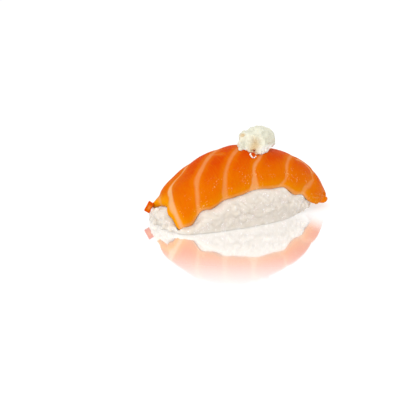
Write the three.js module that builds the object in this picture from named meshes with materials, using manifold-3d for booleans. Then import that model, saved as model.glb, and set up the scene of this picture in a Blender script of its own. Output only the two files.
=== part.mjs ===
// Salmon nigiri with a lump of soft cheese: a hand-pressed block of rice, a slice of raw salmon draped over
// it, and the cheese on its crown. Millimetres, +Z up. The origin is on the floor under the rice's middle.
// +X runs along the block to its far end, and -Y is the front, where the hem rises and shows most rice.
import * as THREE from "three";
import { mergeVertices } from "three/addons/utils/BufferGeometryUtils.js";
import Module from "manifold-3d";

const wasm = await Module();
wasm.setup();

// ---- Driving dimensions, in millimetres -------------------------------------------------------------------

// The slice's outer face. Each list holds evenly spaced stations along the slice, near end first.
const RIDGE_X = [-35.2, -31.5, -21.5, -4.5, 15.0, 28.5, 37.2]; // the crown's place along the block
const RIDGE_Z = [7.6, 15.6, 23.2, 27.5, 23.7, 16.1, 2.8]; // the crown's height
const FRONT_W = [11.0, 12.6, 13.8, 14.4, 13.8, 11.8, 7.5]; // from the crown across to the front hem
const FRONT_Z = [0.6, 4.3, 9.8, 12.2, 10.6, 4.4, 2.6]; // the front hem's height
const FRONT_SHIFT = [-1.0, 2.0, 1.0, 1.0, -2.0, -4.2, -5.6]; // the front hem's lead along the block
const FRONT_BULGE = [-1.9, -0.6, 0.0, 0.0, 0.0, 0.0, 0.0]; // how far the slice bulges along, between the two
const BULGE_HIGH = 0.7; // under 1 brings that bulge nearer to the crown
const BACK_W = [12.0, 12.8, 13.6, 14.0, 13.6, 11.8, 8.0];
const BACK_Z = [6.0, 6.6, 8.0, 9.6, 9.4, 6.2, 3.6];
const BACK_SHIFT = [0.0, 0.0, 0.0, 0.0, -1.0, -2.5, -4.0];
const SHOULDER = 0.9; // under 1 squares the slice's shoulders
const HEM_TURN = [0.8, 1.25, 1.5, 1.5, 1.5, 1.3, 1.0]; // radians that the slice turns from its crown to a hem
const END_PACE = 52; // distance along the slice per unit of t, near its two ends
const SLICE_T = 4.4; // thickness at the crown
const HEM_T = 2.2; // thickness near the long hems
const EDGE_T = 0.5; // thickness left at the very edge
const EDGE_ROUND = 1.8; // how far in from an edge its rounding starts
const CORNER_ROUND = 1.2; // how far in the slice's corners are rounded off
const CORNER_FROM = 0.75; // share of the way from crown to hem where that rounding starts
const ARCHED = 1.1; // how much longer the slice is from crown to hem than the straight way
const TAB = { width: 2.4, length: 4.2, thick: 1.4, at: [-36.2, 11.2, 5.2], lean: 0.5, turn: -0.54 };
const SLICE_GRID = [36, 19]; // points along and across
const DENSER = 0.3; // how much the rows crowd towards the slice's two ends
const CUT_GAP = 0.45; // clearance that the rice and the cheese keep from the slice
const UNDER = 0.9; // how far the rice's own skin stays under the slice, for the grains to fill

// The rice block, by the same stations.
const RICE_FRONT_W = [12.4, 15.4, 17.0, 17.4, 15.0, 10.5, 7.0]; // its widest, below the front hem
const RICE_BACK_W = [12.5, 14.2, 15.6, 16.2, 15.0, 12.0, 8.0];
const RICE_TUCK = [0.9, 0.9, 0.9, 0.9, 2.0, 4.6, 5.0]; // how far its foot draws in under its widest
const WIDEST = 0.5; // share of the way from hem to foot where the block is widest
const HEM_SHARE = 0.62; // share of a section's points, from top to foot, that lie above the hem
const DOME_SHARE = 0.14; // share of the block's rings that make each end's dome
const DOME_MIDDLE = 0.7; // where on a section, between its top and its foot, the dome's pole stands out from
const NEAR_END = { station: 0.07, depth: 4.6, poleZ: 4.0 }; // where an end's dome starts, its depth and pole
const FAR_END = { station: 0.77, depth: 5.6, poleZ: 9.4 };
const BLUNT = 0.7; // under 1 makes the two domes blunter
const BLOCK_GRID = [28, 19]; // rings, and points in each

// One cooked grain, and how they lie on the block.
const GRAIN = { length: 6.0, width: 2.7, thick: 2.3, bend: 0.35, blunt: 0.85 };
const GRAIN_SIDES = 5;
const GRAIN_RINGS = 4;
const GRAIN_SPACING = 3.1; // least distance between two grains' middles
const GRAIN_SUNK = 0.55; // how far a grain's middle lies under the block's skin
const GRAIN_SWING = 2.4; // radians over which a grain's lie may vary about the level
const GRAIN_TRIES = 6000;
const LOWEST_GRAIN = 0.7; // least height of a grain's middle over the floor
const POLE_ROOM = 0.01; // share of the block's length that stays clear of grains at each pole
const STEEPEST = 0.8; // no grain lies on a shelf whose normal points up more than this
const UNDER_SLICE = 0.93; // grains are laid from this share of the way down to a hem
const SEED = 7;
const SMALLEST = 0.05; // detail finer than this is smoothed out of the joined rice

// The cheese: overlapping round lumps, as [along, across, up, radius] from its own middle.
const CHEESE_AT = [4.4, -1.6, 29.2];
const CHEESE_TURN = -0.54; // the lumps' own "along" is turned this much about the vertical
const CHEESE_LUMPS = [
  [1.2, -0.2, 1.2, 4.2],
  [3.2, -0.3, 0.6, 3.4],
  [3.3, -0.4, 2.0, 2.4],
  [-1.2, -0.3, 2.2, 3.0],
  [-3.8, -0.8, 0.2, 3.4],
  [-5.1, -1.0, 2.0, 1.8],
  [-4.8, -3.0, -2.0, 2.6],
  [-1.4, -0.9, 0.6, 3.7],
  [-2.4, -3.8, -3.0, 3.0],
  [-0.2, -3.8, -2.9, 2.8],
  [1.7, -2.2, -1.9, 2.6],
  [0.4, 2.8, -0.8, 4.2],
];
const CHEESE_BLEND = 10; // higher keeps the creases between lumps sharper
const CHEESE_HOLLOW = { way: [0.05, -0.95, -0.2], depth: 0.7, width: 0.05 };
const CHEESE_CRAG = 0.35; // depth of the torn relief
const CHEESE_WAVES = [[9, 0, 2], [-3, 11, 0], [0, 0, 10]]; // way and pitch of the relief's three waves
const CHEESE_SEGMENTS = [32, 20];

// ---- Helpers ----------------------------------------------------------------------------------------------

// Catmull-Rom curve through evenly spaced stations. t runs from 0 to 1, and a little past both.
function station(values, t) {
  const last = values.length - 1;
  const i = Math.min(Math.max(Math.floor(t * last), 0), last - 1);
  const f = t * last - i;
  const b = values[i];
  const c = values[i + 1];
  const a = i > 0 ? values[i - 1] : 2 * b - c;
  const d = i + 2 <= last ? values[i + 2] : 2 * c - b;
  return 0.5 * (2 * b + (c - a) * f + (2 * a - 5 * b + 4 * c - d) * f * f + (3 * b - a - 3 * c + d) * f ** 3);
}

// The same random numbers on every run, from 0 to 1.
function seededRandom(seed) {
  let state = seed;
  return () => {
    state = (state * 1664525 + 1013904223) % 4294967296;
    return state / 4294967296;
  };
}

function solidOf(geometry) {
  const bare = geometry.clone();
  bare.deleteAttribute("normal");
  bare.deleteAttribute("uv");
  const merged = mergeVertices(bare, 1e-4);
  const vertProperties = new Float32Array(merged.attributes.position.array);
  const triVerts = new Uint32Array(merged.index.array);
  return new wasm.Manifold(new wasm.Mesh({ numProp: 3, vertProperties, triVerts }));
}

function geometryOf(solid) {
  const mesh = solid.getMesh();
  const geometry = new THREE.BufferGeometry();
  geometry.setAttribute("position", new THREE.BufferAttribute(mesh.vertProperties, 3));
  geometry.setIndex(new THREE.BufferAttribute(mesh.triVerts, 1));
  geometry.computeVertexNormals();
  return geometry;
}

function largestOf(solid) {
  return solid.decompose().reduce((a, b) => (b.volume() > a.volume() ? b : a));
}

// Triangles over a grid of points that is `columns` wide, turned round if `flip`.
function gridFaces(index, rows, columns, flip, start = 0) {
  for (let i = 0; i < rows - 1; i++) {
    for (let j = 0; j < columns - 1; j++) {
      const a = start + i * columns + j;
      const b = a + 1;
      const c = a + columns;
      const d = c + 1;
      if (flip) index.push(a, c, b, b, c, d);
      else index.push(a, b, c, b, d, c);
    }
  }
}

// ---- The slice's surfaces ---------------------------------------------------------------------------------

// A point of the slice's outer face: t along it, v from -1 at the back hem to 1 at the front hem.
function slicePoint(t, v) {
  const front = v > 0;
  const across = station(front ? FRONT_W : BACK_W, t);
  const hemZ = station(front ? FRONT_Z : BACK_Z, t);
  const lead = station(front ? FRONT_SHIFT : BACK_SHIFT, t);
  const bulge = front ? station(FRONT_BULGE, t) * Math.sin(Math.PI * v ** BULGE_HIGH) : 0;
  const hemTurn = station(HEM_TURN, t);
  const turn = Math.abs(v) * hemTurn;
  const out = (Math.sin(turn) / Math.sin(hemTurn)) ** SHOULDER;
  const down = (1 - Math.cos(turn) ** SHOULDER) / (1 - Math.cos(hemTurn) ** SHOULDER);
  const crownZ = station(RIDGE_Z, t);
  return new THREE.Vector3(
    station(RIDGE_X, t) + lead * v * v + bulge,
    -Math.sign(v) * across * out,
    crownZ - (crownZ - hemZ) * down,
  );
}

// The outward normal there, from small steps along and across.
function sliceNormal(t, v) {
  const step = 2e-3;
  const along = slicePoint(t + step, v).sub(slicePoint(t - step, v));
  const across = slicePoint(t, v + step).sub(slicePoint(t, v - step));
  return across.cross(along).normalize();
}

// About how long the slice is from its crown down to a hem.
function sideLength(t, front) {
  const across = station(front ? FRONT_W : BACK_W, t);
  const down = station(RIDGE_Z, t) - station(front ? FRONT_Z : BACK_Z, t);
  return ARCHED * Math.hypot(across, down);
}

function fullThickness(v) {
  return HEM_T + (SLICE_T - HEM_T) * (1 - Math.abs(v) ** 3);
}

// Half the slice's thickness, rounded off like a quarter circle near each edge.
function halfThickness(t, v) {
  const inward = Math.min(t * END_PACE, (1 - t) * END_PACE, (1 - Math.abs(v)) * sideLength(t, v > 0));
  const short = 1 - Math.min(Math.max(inward / EDGE_ROUND, 0), 1);
  return Math.max((fullThickness(v) / 2) * Math.sqrt(1 - short * short), EDGE_T / 2);
}

// The slice's faces, `side` 1 for the outer and -1 for the inner, grown by `grow`.
function sliceFace(t, v, side, grow) {
  const reach = side * (halfThickness(t, v) + grow) - fullThickness(v) / 2;
  return slicePoint(t, v).addScaledVector(sliceNormal(t, v), reach);
}

// The closed slice, `grow` mm larger all round. Its ends are drawn in near the hems, to round its corners.
function sliceSolid(grow) {
  const [rows, columns] = SLICE_GRID;
  const vertices = [];
  for (const side of [1, -1]) {
    for (let i = 0; i < rows; i++) {
      for (let j = 0; j < columns; j++) {
        const across = Math.sin((j / (columns - 1) - 0.5) * Math.PI);
        const nearHem = Math.max(0, (Math.abs(across) - CORNER_FROM) / (1 - CORNER_FROM));
        const inset = (CORNER_ROUND * (1 - Math.sqrt(1 - nearHem ** 2)) - grow) / END_PACE;
        const even = i / (rows - 1);
        const denserAtEnds = 0.5 - 0.5 * Math.cos(even * Math.PI);
        const t = inset + (1 - 2 * inset) * (even + DENSER * (denserAtEnds - even));
        const v = across * (1 + grow / sideLength(t, across > 0));
        vertices.push(...sliceFace(t, v, side, grow).toArray());
      }
    }
  }
  const index = [];
  const inner = rows * columns;
  gridFaces(index, rows, columns, false);
  gridFaces(index, rows, columns, true, inner);
  const rim = [];
  for (let j = 0; j < columns - 1; j++) rim.push(j);
  for (let i = 0; i < rows - 1; i++) rim.push(i * columns + columns - 1);
  for (let j = columns - 1; j > 0; j--) rim.push((rows - 1) * columns + j);
  for (let i = rows - 1; i > 0; i--) rim.push(i * columns);
  rim.forEach((a, k) => {
    const b = rim[(k + 1) % rim.length];
    index.push(a, a + inner, b, b, a + inner, b + inner);
  });
  const geometry = new THREE.BufferGeometry();
  geometry.setAttribute("position", new THREE.Float32BufferAttribute(vertices, 3));
  geometry.setIndex(index);
  return solidOf(geometry);
}

// The small square tab of flesh that hangs at the slice's near back corner.
function tabSolid(grow) {
  const tab = new THREE.BoxGeometry(TAB.width + 2 * grow, TAB.thick + 2 * grow, TAB.length + 2 * grow);
  return solidOf(tab.rotateY(TAB.lean).rotateZ(TAB.turn).translate(...TAB.at));
}

// ---- The rice ---------------------------------------------------------------------------------------------

// A point of the block's skin: t along it, a from -1 at the back foot over the top to 1 at the front foot.
function blockPoint(t, a) {
  const side = a < 0 ? -1 : 1;
  const v = Math.min(Math.abs(a) / HEM_SHARE, 1) * side;
  const point = sliceFace(t, v, -1, UNDER);
  const below = (Math.abs(a) - HEM_SHARE) / (1 - HEM_SHARE);
  if (below <= 0) return point;
  const widest = -side * station(side > 0 ? RICE_FRONT_W : RICE_BACK_W, t);
  const swell = Math.sin((Math.min(below / WIDEST, 1) * Math.PI) / 2);
  const tuck = Math.max(0, (below - WIDEST) / (1 - WIDEST)) ** 2 * station(RICE_TUCK, t);
  point.y += (widest - point.y) * swell + side * tuck;
  point.z *= 1 - below;
  return point;
}

// The skin with both ends closed as domes. s runs from 0 at the near pole to 1 at the far pole.
function skinPoint(s, a) {
  const near = s < DOME_SHARE;
  const far = s > 1 - DOME_SHARE;
  if (!near && !far) {
    const share = (s - DOME_SHARE) / (1 - 2 * DOME_SHARE);
    return blockPoint(NEAR_END.station + (FAR_END.station - NEAR_END.station) * share, a);
  }
  const end = near ? NEAR_END : FAR_END;
  const outward = near ? -1 : 1;
  const turn = ((near ? DOME_SHARE - s : s - 1 + DOME_SHARE) / DOME_SHARE) * (Math.PI / 2);
  const shrink = Math.cos(turn) ** BLUNT;
  const point = blockPoint(end.station, a);
  const poleX = blockPoint(end.station, DOME_MIDDLE).x;
  point.x = poleX + (point.x - poleX) * shrink + outward * end.depth * Math.sin(turn);
  point.y *= shrink;
  point.z = end.poleZ + (point.z - end.poleZ) * shrink;
  return point;
}

function skinNormal(s, a) {
  const step = 2e-3;
  const along = skinPoint(s + step, a).sub(skinPoint(s - step, a));
  const across = skinPoint(s, a + step).sub(skinPoint(s, a - step));
  return across.cross(along).normalize();
}

// The bare block: rings of skin from pole to pole, and a flat foot between the first and last point of each.
function blockSolid() {
  const [rings, points] = BLOCK_GRID;
  const vertices = [];
  const index = [];
  for (let i = 1; i < rings; i++) {
    for (let j = 0; j < points; j++) {
      vertices.push(...skinPoint(i / rings, -1 + (2 * j) / (points - 1)).toArray());
    }
  }
  for (let i = 0; i < rings - 2; i++) {
    for (let j = 0; j < points; j++) {
      const a = i * points + j;
      const b = i * points + ((j + 1) % points);
      index.push(a, b, a + points, b, b + points, a + points);
    }
  }
  const nearPole = vertices.length / 3;
  vertices.push(...skinPoint(0, 0).toArray(), ...skinPoint(1, 0).toArray());
  const lastRing = (rings - 2) * points;
  for (let j = 0; j < points; j++) {
    const k = (j + 1) % points;
    index.push(nearPole, k, j, nearPole + 1, lastRing + j, lastRing + k);
  }
  const geometry = new THREE.BufferGeometry();
  geometry.setAttribute("position", new THREE.Float32BufferAttribute(vertices, 3));
  geometry.setIndex(index);
  return solidOf(geometry);
}

// One plump grain lying along X, bent a little, its ends blunt.
function grainGeometry() {
  const grain = new THREE.SphereGeometry(0.5, GRAIN_SIDES, GRAIN_RINGS);
  grain.rotateZ(Math.PI / 2);
  const p = grain.attributes.position;
  for (let i = 0; i < p.count; i++) {
    const along = Math.sign(p.getX(i)) * Math.abs(2 * p.getX(i)) ** GRAIN.blunt;
    p.setXYZ(
      i,
      (along * GRAIN.length) / 2,
      p.getY(i) * GRAIN.width - GRAIN.bend * along * along,
      p.getZ(i) * GRAIN.thick,
    );
  }
  return grain;
}

// Where grains lie: random places on the open skin, kept if no grain is closer than the spacing.
function grainPlaces() {
  const random = seededRandom(SEED);
  const places = [];
  for (let n = 0; n < GRAIN_TRIES; n++) {
    const s = POLE_ROOM + (1 - 2 * POLE_ROOM) * random();
    const side = random() < 0.5 ? -1 : 1;
    const a = side * (HEM_SHARE * UNDER_SLICE + (1 - HEM_SHARE * UNDER_SLICE) * random());
    const heading = (random() - 0.5) * GRAIN_SWING;
    const at = skinPoint(s, a);
    const hemZ = skinPoint(s, side * HEM_SHARE).z;
    if (at.z < LOWEST_GRAIN || hemZ < GRAIN.width) continue;
    if (places.some((place) => place.at.distanceTo(at) < GRAIN_SPACING)) continue;
    const normal = skinNormal(s, a);
    if (normal.z > STEEPEST) continue;
    places.push({ at, normal, heading });
  }
  return places;
}

function riceSolid(sliceRoom) {
  const grain = grainGeometry();
  const grains = grainPlaces().map(({ at, normal, heading }) => {
    const lay = new THREE.Matrix4();
    const level = new THREE.Vector3(0, 0, 1).cross(normal).normalize();
    const along = level.applyAxisAngle(normal, heading);
    lay.makeBasis(along, normal.clone().cross(along), normal);
    lay.setPosition(at.clone().addScaledVector(normal, -GRAIN_SUNK));
    return solidOf(grain.clone().applyMatrix4(lay));
  });
  const heap = wasm.Manifold.union([blockSolid(), ...grains]).trimByPlane([0, 0, 1], 0);
  return largestOf(heap.subtract(sliceRoom).simplify(SMALLEST));
}

// ---- The cheese -------------------------------------------------------------------------------------------

// How far the cheese reaches from its middle in direction `way`: to the outermost lump, softly creased.
function cheeseReach(way) {
  let sum = 0;
  for (const [x, y, z, radius] of CHEESE_LUMPS) {
    const centre = new THREE.Vector3(x, y, z);
    const along = way.dot(centre);
    const under = radius * radius - centre.lengthSq() + along * along;
    const reach = under > 0 ? along + Math.sqrt(under) : 0;
    if (reach > 0) sum += reach ** CHEESE_BLEND;
  }
  const hollow = new THREE.Vector3(...CHEESE_HOLLOW.way).normalize();
  const dent = CHEESE_HOLLOW.depth * Math.exp(-(1 - way.dot(hollow)) / CHEESE_HOLLOW.width);
  let crag = CHEESE_CRAG;
  for (const wave of CHEESE_WAVES) crag *= Math.sin(way.dot(new THREE.Vector3(...wave)));
  return sum ** (1 / CHEESE_BLEND) - dent + crag;
}

function cheeseSolid(sliceRoom) {
  const lump = new THREE.SphereGeometry(1, ...CHEESE_SEGMENTS);
  const p = lump.attributes.position;
  for (let i = 0; i < p.count; i++) {
    const way = new THREE.Vector3().fromBufferAttribute(p, i).normalize();
    way.multiplyScalar(cheeseReach(way));
    p.setXYZ(i, ...way.toArray());
  }
  lump.rotateZ(CHEESE_TURN).translate(...CHEESE_AT);
  return largestOf(solidOf(lump).subtract(sliceRoom));
}

// ---- The model --------------------------------------------------------------------------------------------

function piece(name, solid, color, roughness) {
  const material = new THREE.MeshStandardMaterial({ color, roughness, metalness: 0 });
  const mesh = new THREE.Mesh(geometryOf(solid), material);
  mesh.name = name;
  return mesh;
}

const slice = sliceSolid(0).add(tabSolid(0));
const room = sliceSolid(CUT_GAP).add(tabSolid(CUT_GAP));

const nigiri = new THREE.Group();
nigiri.add(piece("rice", riceSolid(room), 0xf1ebdf, 0.5));
nigiri.add(piece("salmon_slice", slice, 0xec6a10, 0.35));
nigiri.add(piece("cream_cheese", cheeseSolid(room), 0xf6f2de, 0.6));

export default nigiri;
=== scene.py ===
import math

import bpy
import numpy as np
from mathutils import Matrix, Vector


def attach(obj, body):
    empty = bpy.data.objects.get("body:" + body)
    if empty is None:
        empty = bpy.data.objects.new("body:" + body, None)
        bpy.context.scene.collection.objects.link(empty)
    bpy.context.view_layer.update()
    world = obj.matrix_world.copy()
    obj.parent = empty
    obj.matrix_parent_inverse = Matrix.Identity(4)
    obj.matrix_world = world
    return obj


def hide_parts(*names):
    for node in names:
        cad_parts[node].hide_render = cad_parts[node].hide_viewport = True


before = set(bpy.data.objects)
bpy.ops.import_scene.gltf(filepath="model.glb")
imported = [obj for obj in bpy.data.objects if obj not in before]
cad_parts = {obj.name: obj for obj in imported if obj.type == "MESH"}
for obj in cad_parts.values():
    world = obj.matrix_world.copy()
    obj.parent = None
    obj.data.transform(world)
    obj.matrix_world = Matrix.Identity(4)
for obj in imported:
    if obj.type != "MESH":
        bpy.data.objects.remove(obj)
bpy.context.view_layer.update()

# A salmon nigiri: the slice of raw salmon, the pressed rice with its grains, and the lump of soft cheese.
# Shapes are worked out in millimetres, in the part's own frame, and become metres where a mesh is made.
MM = 0.001
SEED = 7
CHUNK = 2000  # how many points are compared at once
STEP = 2e-3  # of a surface's parameters, to find its slope

# ---- The slice ----

# Stations, near end first: the crown, then each side's half width, hem's height and hem's lead in x.
RIDGE_X = (-35.2, -31.5, -21.5, -4.5, 15.0, 28.5, 37.2)
RIDGE_Z = (7.6, 15.6, 23.2, 27.5, 23.7, 16.1, 2.8)
FRONT_W = (11.0, 12.6, 13.8, 14.4, 13.8, 11.8, 7.5)
FRONT_Z = (0.6, 4.3, 9.8, 12.2, 10.6, 4.4, 2.6)
FRONT_SHIFT = (-1.0, 2.0, 1.0, 1.0, -2.0, -4.2, -5.6)
FRONT_BULGE = (-1.9, -0.6, 0.0, 0.0, 0.0, 0.0, 0.0)
BULGE_HIGH = 0.7
BACK_W = (12.0, 12.8, 13.6, 14.0, 13.6, 11.8, 8.0)
BACK_Z = (6.0, 6.6, 8.0, 9.6, 9.4, 6.2, 3.6)
BACK_SHIFT = (0.0, 0.0, 0.0, 0.0, -1.0, -2.5, -4.0)
HEM_TURN = (0.8, 1.25, 1.5, 1.5, 1.5, 1.3, 1.0)
SHOULDER = 0.9  # under 1 squares the section's shoulders
END_PACE = 52.0  # how far apart t = 0 and t = 1 would be at the ends' own pace
SLICE_THICK = 4.4
HEM_THICK = 2.2
EDGE_ROUND = 1.8
CORNER_ROUND = 1.2
CORNER_FROM = 0.75
DENSER = 0.3  # how much closer the rows stand towards both ends
SLICE_ROWS = 330
SLICE_COLUMNS = 140
BETWEEN_LINES = 0.55  # how far the flesh swells between two fat lines
UNEVEN = ((9.0, 0.2, 3), (3.5, 0.08, 4), (1.2, 0.03, 5))  # each relief's size, height and seed
CLEARANCE = 0.06
LAY_SIZE = (92.0, 21.0)  # about its length, and how far each side hangs
WALL_EDGE = 0.6  # so near the slice's edge the inner face doesn't hold the rice off
WALL_REACH = 0.6  # how far aside a sample of a face still holds a point off

# Each fat line: how pale it is, and its course as (t, v, breadth), where t is the share of the way along the
# slice and v runs from -1 at the back hem over the crown at 0 to 1 at the front hem.
FAT_LINES = (
    (0.4, ((0.0, -0.35, 1.4), (0.07, -0.55, 1.6), (0.13, -0.78, 1.8), (0.17, -1.02, 2.0))),
    (1.0, (
        (0.47, -1.02, 1.8), (0.41, -0.7, 1.4), (0.36, -0.35, 0.9), (0.27, -0.17, 0.6), (0.2, -0.14, 0.7),
        (0.14, -0.1, 1.8), (0.1, -0.02, 2.8), (0.076, 0.15, 2.7), (0.054, 0.42, 1.8), (0.042, 0.75, 1.4),
        (0.038, 1.02, 1.2),
    )),
    (0.38, (
        (0.6, -1.02, 1.8), (0.54, -0.7, 1.6), (0.48, -0.35, 1.5), (0.431, -0.09, 1.7), (0.379, 0.04, 1.8),
        (0.319, 0.21, 1.8), (0.273, 0.35, 2.1), (0.246, 0.52, 1.6), (0.224, 0.75, 1.4), (0.206, 0.93, 1.6),
        (0.2, 1.02, 1.8),
    )),
    (0.4, ((0.39, 0.0, 0.5), (0.411, 0.05, 0.35), (0.427, 0.12, 0.2))),
    (0.34, (
        (0.69, -1.02, 1.6), (0.64, -0.7, 1.4), (0.575, -0.35, 1.3), (0.52, 0.0, 1.4), (0.483, 0.15, 1.5),
        (0.437, 0.32, 1.3), (0.401, 0.51, 1.3), (0.377, 0.72, 1.6), (0.371, 0.88, 2.2), (0.371, 1.02, 3.1),
    )),
    (0.54, (
        (0.78, -1.02, 1.5), (0.74, -0.7, 1.3), (0.68, -0.35, 1.1), (0.615, 0.0, 0.9), (0.549, 0.4, 1.1),
        (0.517, 0.55, 1.2), (0.501, 0.7, 1.3), (0.498, 0.8, 1.9), (0.494, 0.88, 2.7), (0.486, 1.02, 4.4),
    )),
    (0.36, (
        (0.88, -1.02, 1.6), (0.85, -0.7, 1.3), (0.8, -0.35, 1.2), (0.755, -0.05, 1.4), (0.721, 0.09, 1.6),
        (0.671, 0.36, 1.3), (0.643, 0.56, 1.3), (0.637, 0.71, 1.2), (0.621, 0.88, 0.9), (0.59, 1.02, 1.5),
    )),
    (0.32, (
        (0.96, -1.02, 1.6), (0.93, -0.6, 1.3), (0.885, -0.1, 1.0), (0.85, 0.2, 0.9), (0.818, 0.47, 1.1),
        (0.812, 0.61, 1.1), (0.788, 0.71, 1.8), (0.747, 0.88, 2.2), (0.729, 1.02, 2.0),
    )),
    # The last: a pale line along a fold near the crown far along, partly painted sheen.
    (0.8, (
        (0.725, 0.26, 0.6), (0.755, 0.2, 1.0), (0.785, 0.21, 1.0), (0.806, 0.3, 1.0), (0.818, 0.42, 0.9),
    )),
)
LINE_SAMPLES = 180

# How far each hem hangs below its plain curve, at places along the slice.
FRONT_DROOP = (
    (0.0, -0.3), (0.04, -0.25), (0.12, 0.6), (0.222, -1.4), (0.3, 0.7), (0.325, 0.65), (0.355, -0.1),
    (0.42, -0.1), (0.495, -0.9), (0.56, -0.55), (0.61, -0.85), (0.685, 1.4), (0.742, -0.1), (0.8, 0.55),
    (0.86, 0.6), (0.95, 1.5), (1.0, 0.6),
)
BACK_DROOP = (
    (0.0, 0.3), (0.17, -0.6), (0.32, 0.6), (0.47, -0.7), (0.535, 0.4), (0.6, -0.6), (0.65, 0.3),
    (0.69, -0.4), (0.74, 0.5), (0.78, -0.4), (0.83, 0.5), (0.88, -0.5), (0.93, 0.5), (1.0, 0.2),
)

# A small round lobe at the slice's far tip.
NUB_AT = (31.7, -7.7, 3.7)
NUB_REACH = 1.9
NUB_RISE = 1.4
NUB_GROOVE = 0.7
NUB_PALE = 0.7

# The small square tab of flesh at the slice's near back corner.
TAB_SIZE = (2.4, 1.4, 4.2)
TAB_AT = (-36.2, 11.2, 5.2)
TAB_LEAN = 0.5
TAB_TURN = -0.54
TAB_EDGE = 0.35

# ---- The rice ----

RICE_FRONT_W = (13.4, 15.8, 17.0, 17.4, 15.0, 10.5, 7.0)
RICE_BACK_W = (12.5, 14.2, 15.6, 16.2, 15.0, 12.0, 8.0)
RICE_TUCK = (0.3, 0.4, 0.5, 0.6, 2.0, 4.6, 5.0)
WIDEST = 0.5  # how far down from the hem it is widest
HEM_SHARE = 0.62  # of the section, above the hem
FILLS_HEM = 0.3  # under 1 fills the crease below the hem
RICE_UNDER = 0.15
RICE_LIFT = 0.55  # how far above the hem's edge the rice comes out
NEAR_END = (0.045, 3.5, 4.3)  # station, depth and the pole's height
FAR_END = (0.79, 7.6, 9.8)
FAR_SLANT = 5.0  # how far the far end's foot is cut back
BLUNT = (0.6, 1.2)  # the near and the far end's power of the cosine
DOME_SHARE = 0.14  # of the length, where each end closes
GRAIN_LENGTH = 5.8
GRAIN_WIDTH = 2.6
GRAIN_THICK = 2.2
# Each layer's depth, and how near one grain's middle may lie to the next one's, along and across.
RICE_LAYERS = ((1.05, (3.4, 2.0)), (0.95, (4.2, 2.3)))
GRAIN_TRIES = 6000
GRAIN_SWING = 2.6  # radians about the level, for how they lie
ON_FOOT = 0.42  # the share of them tried on the foot
SEAM_WIDE = 0.14
SEAM_DEEP = 0.07
CORE_SUNK = 0.35
CORE_RELIEF = ((2.4, 0.3, 41), (1.1, 0.12, 42))
FOOT_OUT = 0.3
RICE_SPACING = 0.4  # how far apart the points of the skin are
RICE_ROUNDS = 4  # how many times they are softened

# ---- The cheese ----

CHEESE_AT = (4.4, -1.6, 29.2)
CHEESE_TURN = -0.54
# Round lumps about its middle: along, across, up and radius.
CHEESE_LUMPS = (
    (1.2, -0.2, 1.2, 4.2), (3.3, -0.3, 0.2, 3.5), (3.3, -0.4, 2.0, 2.4), (-1.2, -0.3, 2.2, 3.0),
    (-3.8, -0.8, 0.2, 3.4), (-5.1, -1.0, 2.0, 1.8), (-4.8, -3.0, -2.0, 2.6), (-1.4, -0.9, 0.6, 3.7),
    (-2.4, -3.8, -3.0, 3.0), (-0.2, -3.8, -2.9, 2.8), (1.7, -2.2, -1.9, 2.6), (0.4, 2.8, -0.8, 4.2),
)
CHEESE_BLEND = 10.0
CHEESE_SPACING = 0.16
# Ways from its middle to a hollow, a pit and a notch, and their depths.
CHEESE_HOLLOW = (-0.19, -0.96, -0.13)
CHEESE_PIT = (-0.84, -0.4, 0.36)
CHEESE_NOTCH = (-0.225, -0.86, -0.453)
HOLLOW_DEEP = 0.7
PIT_DEEP = 0.5
NOTCH_DEEP = 1.6
# Torn bits round its lower edge, and crumbs in a short bent row below: x, y, z and radius.
BITS = (
    (-3.3, -1.9, 27.5, 0.8), (-4.3, -3.2, 27.2, 0.9), (-4.9, -4.1, 27.0, 0.8), (-3.6, -3.8, 27.1, 0.9),
    (-2.8, -4.1, 27.0, 0.9), (-2.1, -4.7, 26.8, 0.8), (-2.0, -5.7, 26.4, 0.7), (-0.9, -6.5, 26.0, 0.6),
    (0.4, -7.1, 25.6, 0.8), (1.6, -7.0, 25.6, 0.9), (3.5, -6.0, 25.7, 0.9), (5.8, -5.0, 25.6, 0.9),
)
CRUMBS = (
    (-2.7, -7.7, 25.6, 0.42), (-2.8, -8.4, 25.2, 0.28), (-2.7, -8.9, 24.8, 0.38), (-1.9, -9.1, 24.6, 0.3),
    (-1.0, -8.8, 24.8, 0.26),
)

# ---- Colours ----

FLESH = (0.66, 0.14, 0.0004)
DEEP_FLESH_AND_SHADE = (0.585, 0.06, 0.0008)
FLESH_BY_LINE = (0.67, 0.175, 0.0005)
HEM_FLESH_AND_LIGHT = (0.69, 0.225, 0.0008)
NEAR_FLESH = (0.8, 0.29, 0.0004)
PALE_FIBRE = (0.68, 0.18, 0.004)
DARK_FIBRE = (0.6, 0.075, 0.0006)
FAT = (0.76, 0.37, 0.155)
PAINTED_RIM_GLOW = (0.78, 0.4, 0.17)
PAINTED_FLESH_GLINT = (0.85, 0.5, 0.22)
INNER_FACE_AND_LIGHT = (0.84, 0.46, 0.24)
DARKER_RICE = (0.65, 0.587, 0.513)
PALER_RICE = (0.7, 0.645, 0.577)
GRAIN_TIP = (0.76, 0.715, 0.66)
PINK_RICE = (0.7, 0.6, 0.55)
PAINTED_SEAM_SHADE = (0.58, 0.52, 0.45)
RICE_GLINT = (0.93, 0.92, 0.9)
DARKER_CHEESE_AND_SHADE = (0.58, 0.565, 0.455)
PALER_CHEESE_AND_LIGHT = (0.73, 0.715, 0.585)
WHITER_FOOT_AND_LIGHT = (0.83, 0.82, 0.775)
PAINTED_HOLLOW_SHADE = (0.6, 0.43, 0.22)
PAINTED_PIT_SHADE = (0.6, 0.46, 0.27)
PINK_NOTCH = (0.7, 0.2, 0.09)

# ---- Numbers ----

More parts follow.
